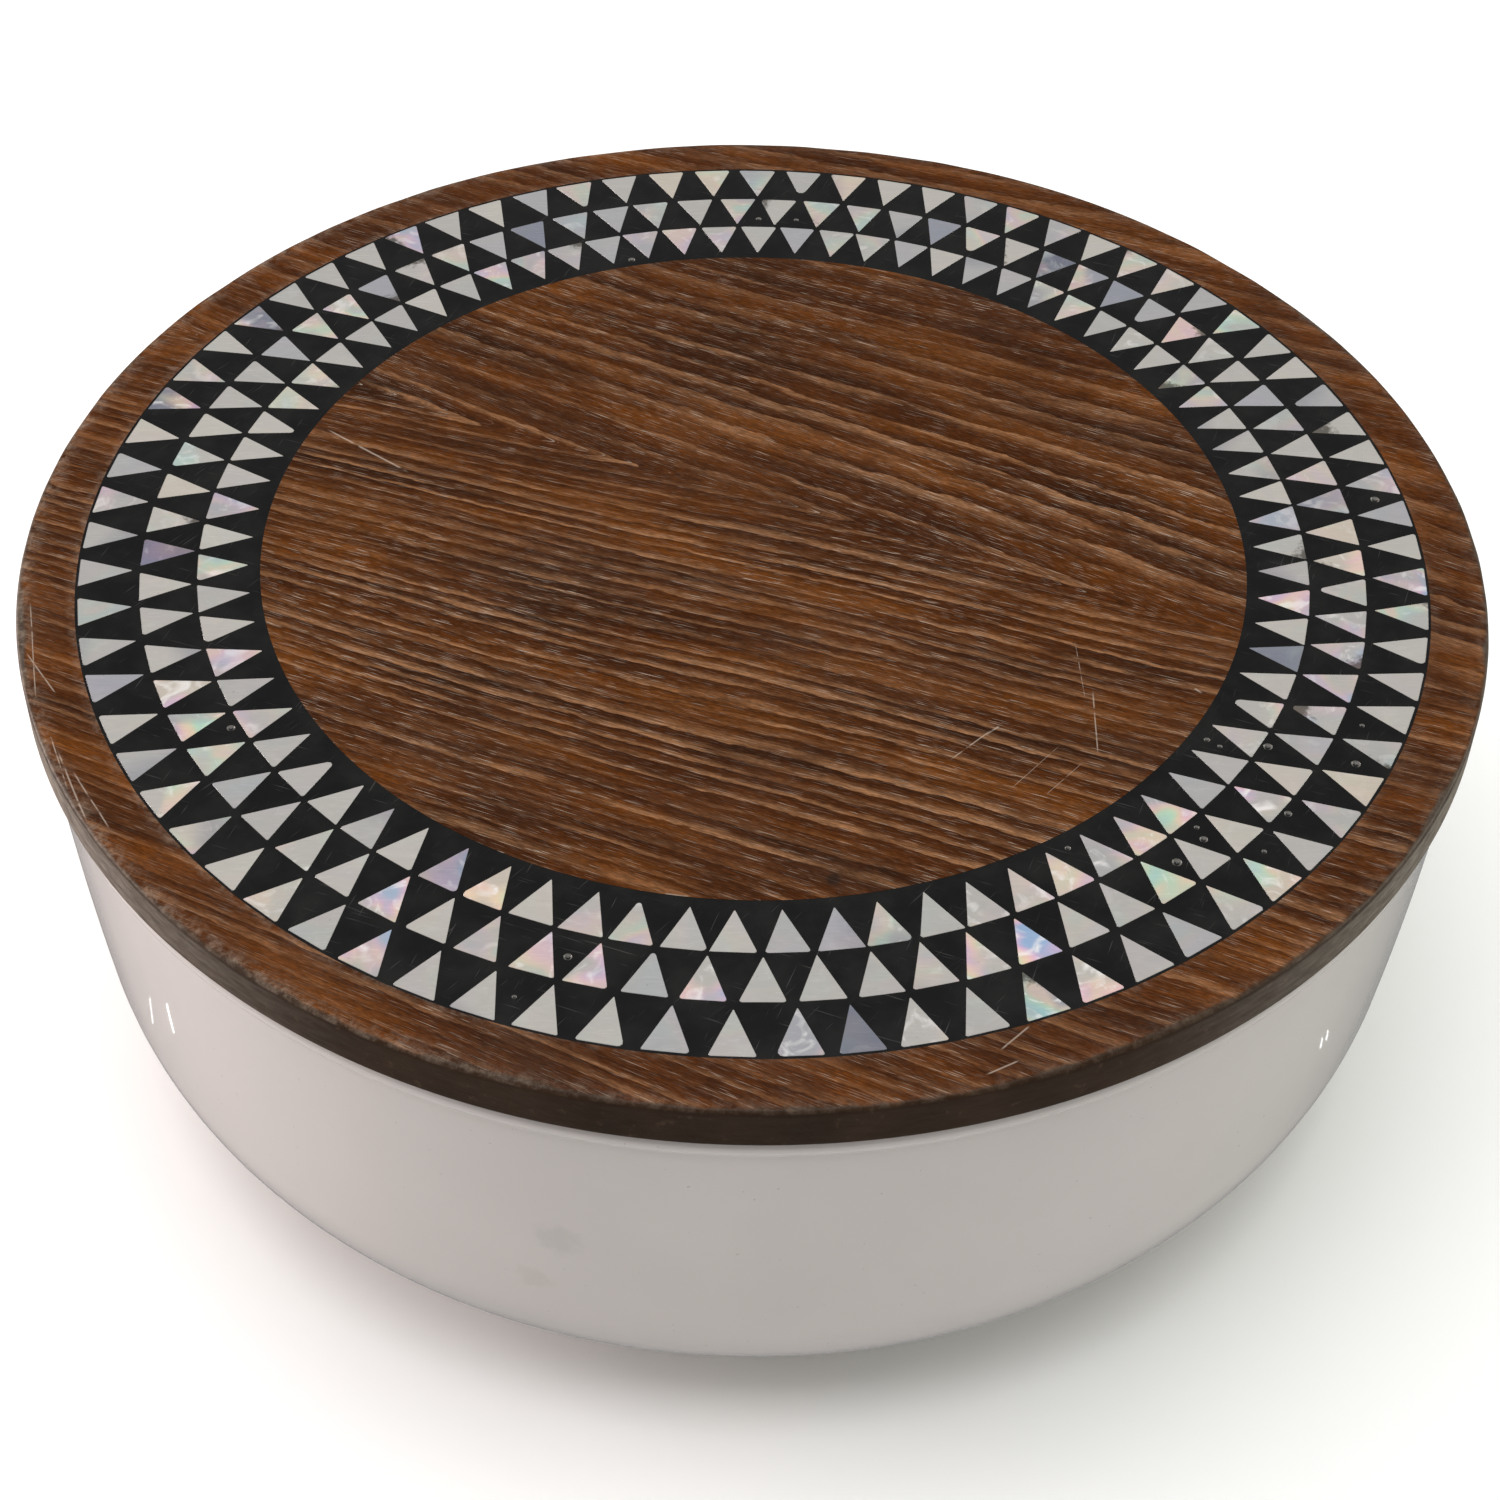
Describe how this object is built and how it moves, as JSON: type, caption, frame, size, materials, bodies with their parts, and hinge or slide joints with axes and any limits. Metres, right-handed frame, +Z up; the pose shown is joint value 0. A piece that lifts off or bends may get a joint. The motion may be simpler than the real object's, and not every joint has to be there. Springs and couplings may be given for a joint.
{
  "type": "go stone bowl",
  "caption": "Round white glazed bowl on a low foot ring, closed by a flat wooden lid with a ring of black resin and mother-of-pearl triangles; the lid lifts off.",
  "frame": {"origin": "centre of the foot ring's face, on the surface that the bowl stands on", "axes": "+Z up along the bowl's axis of revolution, towards the lid; X and Y lie on the table and are alike, since the bowl is round"},
  "size_m": [0.16, 0.16, 0.0616],
  "materials": {
    "white_glaze": "glossy white glaze over porcelain, the foot ring's face left bare",
    "brown_wood": "brown open-grained wood under a worn satin lacquer, darker on the board's edge",
    "dark_wood": "dark stained wood under a satin lacquer",
    "black_resin": "black cast resin, sanded level and polished, with fine scratches and small air bubbles",
    "mother_of_pearl": "polished mother-of-pearl, pale grey with patches of pink, green and gold lustre"
  },
  "bodies": {
    "bowl": {"bowl": "white_glaze"},
    "lid": {"lid_board": "brown_wood", "lid_plug": "dark_wood", "inlay_bed": "black_resin", "shell_row_inner": "mother_of_pearl", "shell_row_middle": "mother_of_pearl", "shell_row_outer": "mother_of_pearl"}
  },
  "joints": [
    {"name": "lid_lift", "type": "slide", "parent": "bowl", "child": "lid", "axis": [0, 0, 1], "range_m": [0, 0.08]}
  ]
}
